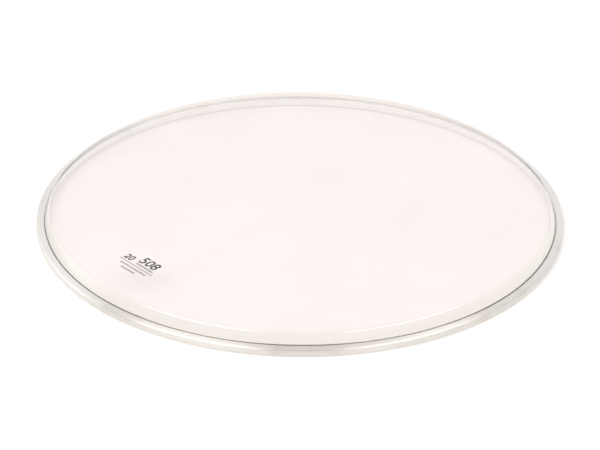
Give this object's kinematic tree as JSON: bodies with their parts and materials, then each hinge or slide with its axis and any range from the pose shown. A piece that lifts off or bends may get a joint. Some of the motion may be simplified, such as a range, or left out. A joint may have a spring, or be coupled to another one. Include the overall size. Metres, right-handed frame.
{
  "type": "drum head",
  "caption": "Clear film drum head: a flat membrane with a shaped collar, its hem locked and bedded in resin inside a round aluminium channel hoop that drops over a drum's shell.",
  "frame": {"origin": "centre of the hoop's underside, on the plane that the head rests on", "axes": "+Z along the head's axis, out of the playing surface; +X and +Y in the hoop's plane, with the hoop's seam at 221 degrees from +X"},
  "size_m": [0.5302, 0.5302, 0.0204],
  "materials": {
    "hoop_aluminium": "satin, drawn along the hoop",
    "weld_aluminium": "dull weld in a shallow groove",
    "clear_film": "clear polyester film, glossy",
    "ring_plastic": "extruded black plastic strip",
    "cured_resin": "cast amber resin"
  },
  "bodies": {
    "root": {"hoop_channel": "hoop_aluminium", "seam_weld": "weld_aluminium", "film": "clear_film", "locking_ring": "ring_plastic", "resin_bead": "cured_resin"}
  },
  "joints": []
}
